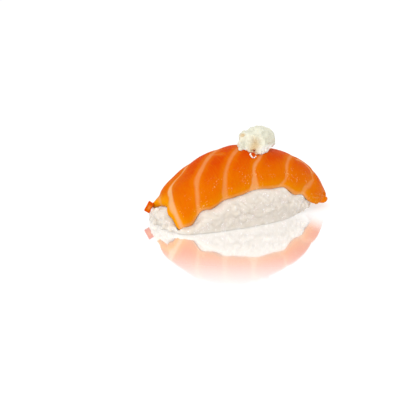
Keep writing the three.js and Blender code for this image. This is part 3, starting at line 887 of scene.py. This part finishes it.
def make_moist_grain():
    """Fine moist unevenness, shared by all: a mask of soft noise, a finer one, and its normal."""
    tree = bpy.data.node_groups.new("moist_grain", "ShaderNodeTree")
    for label in ("Mottle", "Grain", "Height"):
        tree.interface.new_socket(label, in_out="INPUT", socket_type="NodeSocketFloat")
    for label, kind in (("Mask", "Float"), ("Fine", "Float"), ("Normal", "Vector")):
        tree.interface.new_socket(label, in_out="OUTPUT", socket_type="NodeSocket" + kind)
    given = tree.nodes.new("NodeGroupInput").outputs
    result = tree.nodes.new("NodeGroupOutput")
    place = put(tree, "TexCoord").outputs["Object"]
    mottle = put(tree, "TexNoise", Vector=place, Scale=given["Mottle"], Detail=3.0)
    fine = put(tree, "TexNoise", Vector=place, Scale=given["Grain"], Detail=2.0)
    bump = put(tree, "Bump", Height=fine.outputs["Fac"], Distance=given["Height"], Strength=1.0)
    set_inputs(tree, result, Mask=mottle.outputs["Fac"], Fine=fine.outputs["Fac"])
    set_inputs(tree, result, Normal=bump.outputs["Normal"])
    return tree


def new_material(name):
    """A material, its node tree and its Principled shader."""
    material = bpy.data.materials.new(name)
    material.use_nodes = True
    return material, material.node_tree, material.node_tree.nodes["Principled BSDF"]


def add_moist_grain(tree, mottle, grain, height):
    """The shared unevenness at the material's own sizes."""
    node = put(tree, "Group")
    node.node_tree = moist_grain
    set_inputs(tree, node, Mottle=mottle, Grain=grain, Height=height)
    return node.outputs


def salmon_material():
    """Raw flesh: redder over the crown and yellower towards the hem, partly its own colour and partly painted
    shade and light, yellower also towards the near end and each fat line, with fine fibres, soft-edged pale
    fat lines, a pale rim painted as light shining through the thin hem, a few painted glints and a paler
    inner face, partly painted light that lifts its shade."""
    material, tree, skin = new_material("raw_salmon")
    grain = add_moist_grain(tree, 260.0, 2000.0, 0.00007)
    lay = put(tree, "UVMap")
    lay.uv_map = "lay"
    turned = put(tree, "Mapping", Vector=lay.outputs["UV"], Rotation=(0, 0, 0.5), Scale=(2.2, 0.16, 1))
    fibre = put(tree, "TexNoise", Vector=turned.outputs["Vector"], Scale=1.0, Detail=3.0).outputs["Fac"]
    uneven = maths(tree, "SUBTRACT", grain["Mask"], 0.5)
    # Redder where deep: the flesh's own colour, with painted shade over the crown and far along.
    deep = maths(tree, "ADD", attribute(tree, "deep"), maths(tree, "MULTIPLY", uneven, 0.4))
    colour = tint(tree, FLESH, deep, 0.0, 1.0, 1.0, DEEP_FLESH_AND_SHADE)
    gap = maths(tree, "ADD", attribute(tree, "line_gap"), maths(tree, "MULTIPLY", uneven, 0.5))
    hem = attribute(tree, "hem")
    colour = tint(tree, colour, gap, 2.4, 0.2, 0.4, FLESH_BY_LINE)
    # Yellower towards the hem: partly its own colour, partly painted light on the lower side.
    colour = tint(tree, colour, hem, 4.6, 0.6, 0.8, HEM_FLESH_AND_LIGHT)
    colour = tint(tree, colour, attribute(tree, "end"), 6.0, 1.5, 0.9, NEAR_FLESH)
    colour = tint(tree, colour, fibre, 0.52, 0.72, 0.25, PALE_FIBRE)
    colour = tint(tree, colour, fibre, 0.45, 0.28, 0.25, DARK_FIBRE)
    line = maths(tree, "MULTIPLY", ramp(tree, gap, 0.5, -0.6), attribute(tree, "line_pale"))
    colour = blend(tree, line, colour, FAT)
    # A pale rim: painted light shining through the thin hem.
    colour = tint(tree, colour, hem, 1.6, 0.0, 0.6, PAINTED_RIM_GLOW)
    # Painted glints low down, where the mottle and the fine noise are both high.
    low_down = ramp(tree, hem, 12.0, 6.0, 0.0, 0.5)
    painted_glint = maths(tree, "MULTIPLY", ramp(tree, grain["Fine"], 0.58, 0.68), low_down)
    painted_glint = maths(tree, "MULTIPLY", painted_glint, ramp(tree, grain["Mask"], 0.5, 0.58))
    colour = blend(tree, painted_glint, colour, PAINTED_FLESH_GLINT)
    # The paler inner face: partly its own colour, partly painted light that lifts its shade.
    colour = blend(tree, maths(tree, "MULTIPLY", attribute(tree, "inside"), 0.85), colour, INNER_FACE_AND_LIGHT)
    rough = ramp(tree, grain["Mask"], 0.3, 0.7, 0.3, 0.45)
    set_inputs(tree, skin, Base_Color=colour, Roughness=rough, Normal=grain["Normal"])
    set_inputs(tree, skin, Specular_IOR_Level=0.008, Specular_Tint=(1.0, 0.6, 0.3, 1.0))
    set_inputs(tree, skin, Subsurface_Weight=0.2, Subsurface_Radius=(1.0, 0.35, 0.1), Subsurface_Scale=0.0012)
    return material


def rice_material():
    """Cooked rice: warm and milky, each grain a little different, paler and more opaque towards its ends,
    with painted shade in the seams, pink patches and white glints."""
    material, tree, skin = new_material("cooked_rice")
    grain = add_moist_grain(tree, 420.0, 2200.0, 0.00006)
    tone = maths(tree, "ADD", attribute(tree, "tone"), maths(tree, "SUBTRACT", grain["Mask"], 0.5))
    colour = tint(tree, DARKER_RICE, tone, -0.9, 0.9, 1.0, PALER_RICE)
    colour = tint(tree, colour, attribute(tree, "tip"), 0.5, 1.0, 0.2, GRAIN_TIP)
    colour = tint(tree, colour, grain["Mask"], 0.5, 0.68, 0.5, PINK_RICE)
    # Painted shade in the seams between grains.
    colour = tint(tree, colour, attribute(tree, "seam"), 0.2, 1.0, 0.25, PAINTED_SEAM_SHADE)
    patch = ramp(tree, grain["Mask"], 0.5, 0.6)
    glint = maths(tree, "MULTIPLY", ramp(tree, grain["Fine"], 0.59, 0.67), patch)
    colour = blend(tree, glint, colour, RICE_GLINT)
    rough = ramp(tree, grain["Fine"], 0.3, 0.7, 0.3, 0.46)
    set_inputs(tree, skin, Base_Color=colour, Roughness=rough, Normal=grain["Normal"])
    set_inputs(tree, skin, Specular_IOR_Level=0.15, Subsurface_Weight=1.0, Subsurface_Scale=0.0024)
    set_inputs(tree, skin, Subsurface_Radius=(1.0, 0.93, 0.82))
    return material


def cheese_material():
    """Soft cheese: cool ivory, paler on its ridges and darker in its dips with painted light and shade,
    whiter on its broken lower rim, partly its own colour and partly painted light, painted beige shade and
    reflected salmon light in the hollow, painted brown shade in the pit, and pink in the notch, where the
    flesh shows through."""
    material, tree, skin = new_material("soft_cheese")
    grain = add_moist_grain(tree, 500.0, 1800.0, 0.00012)
    # Paler on raised relief, darker in its dips: painted light and shade, with random mottle.
    tone = maths(tree, "ADD", attribute(tree, "relief"), maths(tree, "SUBTRACT", grain["Mask"], 0.5))
    colour = tint(tree, DARKER_CHEESE_AND_SHADE, tone, -0.6, 0.6, 1.0, PALER_CHEESE_AND_LIGHT)
    # Whiter at the foot: partly its own colour, partly painted light that lifts the shade under the lump.
    colour = tint(tree, colour, attribute(tree, "low"), 0.3, 1.0, 0.8, WHITER_FOOT_AND_LIGHT)
    # Painted shade and reflected salmon light in the hollow.
    colour = tint(tree, colour, attribute(tree, "hollow"), 0.1, 1.1, 1.0, PAINTED_HOLLOW_SHADE)
    # Painted shade in the pit.
    colour = tint(tree, colour, attribute(tree, "pit"), 0.1, 0.9, 1.0, PAINTED_PIT_SHADE)
    colour = tint(tree, colour, attribute(tree, "thin"), 0.25, 0.9, 1.0, PINK_NOTCH)
    rough = ramp(tree, grain["Fine"], 0.3, 0.7, 0.45, 0.65)
    set_inputs(tree, skin, Base_Color=colour, Roughness=rough, Normal=grain["Normal"])
    set_inputs(tree, skin, Specular_IOR_Level=0.35, Subsurface_Weight=0.3, Subsurface_Scale=0.001)
    set_inputs(tree, skin, Subsurface_Radius=(1.0, 0.9, 0.7))
    return material


# ---- The object ----

moist_grain = make_moist_grain()
raw_salmon = salmon_material()
cooked_rice = rice_material()
soft_cheese = cheese_material()

salmon, outer_wall, inner_wall = make_salmon(raw_salmon)
for piece, node, finish in (
    (salmon, "salmon_slice", "salmon"),
    (make_tab(raw_salmon), "salmon_slice", "salmon"),
    (make_rice(cooked_rice, inner_wall, outer_wall), "rice", "rice"),
    (make_cheese(soft_cheese, outer_wall), "cream_cheese", "cheese"),
    (make_crumbs(soft_cheese), "cream_cheese", "cheese"),
):
    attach(piece, "root")
    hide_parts(node)

# ---- The floor, the light and the camera ----

AZIMUTH = math.radians(-30.8)
ELEVATION = math.radians(14.6)
DISTANCE = 0.6
PIXELS_PER_METRE = 2576.0
FRAME_PIXELS = 400
ORIGIN_PIXEL = (245.0, 214.1)
LIGHT_AIM = Vector((0, 0, 0.01))


def make_floor():
    """A white floor that mirrors what stands on it, less and less outwards and under the far end."""
    mesh = bpy.data.meshes.new("floor")
    half = 6.0
    corners = [(-half, -half, 0), (half, -half, 0), (half, half, 0), (-half, half, 0)]
    mesh.from_pydata(corners, [], [(0, 1, 2, 3)])
    floor = add_object("floor", mesh)
    material, tree, skin = new_material("pale_floor")
    place = put(tree, "TexCoord").outputs["Object"]
    away = put(tree, "VectorMath", Vector=place)
    away.operation = "LENGTH"
    along = put(tree, "SeparateXYZ", Vector=place).outputs["X"]
    near = ramp(tree, away.outputs["Value"], 0.115, 0.05)
    shine = maths(tree, "MULTIPLY", near, ramp(tree, along, 0.026, 0.008))
    set_inputs(
        tree, skin, Metallic=maths(tree, "MULTIPLY", shine, 0.95), Roughness=0.06, Specular_IOR_Level=0.0,
        Base_Color=blend(tree, shine, (0.4, 0.4, 0.4), (0.73, 0.73, 0.73)), Emission_Strength=0.64,
        Emission_Color=blend(tree, shine, (1.0, 1.0, 1.0), (0.5, 0.5, 0.5)),
    )
    mesh.materials.append(material)


def add_light(name, place, size, power):
    """A round lamp at a place, looking at the food's foot."""
    lamp = bpy.data.lights.new(name, "AREA")
    lamp.shape = "DISK"
    lamp.size = size
    lamp.energy = power
    light = add_object(name, lamp)
    light.location = place
    light.rotation_euler = (LIGHT_AIM - Vector(place)).to_track_quat("-Z", "Y").to_euler()


def make_camera():
    """A camera at the angle given, which looks past the origin by as much as brings the origin to its own
    pixel of the frame."""
    level = math.cos(ELEVATION)
    back = Vector((math.sin(AZIMUTH) * level, -math.cos(AZIMUTH) * level, math.sin(ELEVATION)))
    right = Vector((math.cos(AZIMUTH), math.sin(AZIMUTH), 0))
    up = right.cross(-back)
    middle = FRAME_PIXELS / 2
    aside = (middle - ORIGIN_PIXEL[0]) / PIXELS_PER_METRE
    above = (ORIGIN_PIXEL[1] - middle) / PIXELS_PER_METRE
    data = bpy.data.cameras.new("camera")
    data.sensor_width = 36
    data.lens = data.sensor_width * PIXELS_PER_METRE * DISTANCE / FRAME_PIXELS
    data.clip_start = 0.01
    camera = add_object("camera", data)
    camera.location = right * aside + up * above + back * DISTANCE
    camera.rotation_euler = (-back).to_track_quat("-Z", "Y").to_euler()
    bpy.context.scene.camera = camera


make_floor()
make_camera()
world = bpy.data.worlds.new("studio")
world.use_nodes = True
set_inputs(world.node_tree, world.node_tree.nodes["Background"], Color=(1, 1, 1, 1), Strength=1.0)
bpy.context.scene.world = world
add_light("key", (-0.35, -0.45, 0.45), 0.35, 1.5)
add_light("fill", (-0.6, -0.2, 0.16), 0.3, 0.3)
bpy.context.scene.view_settings.view_transform = "Standard"
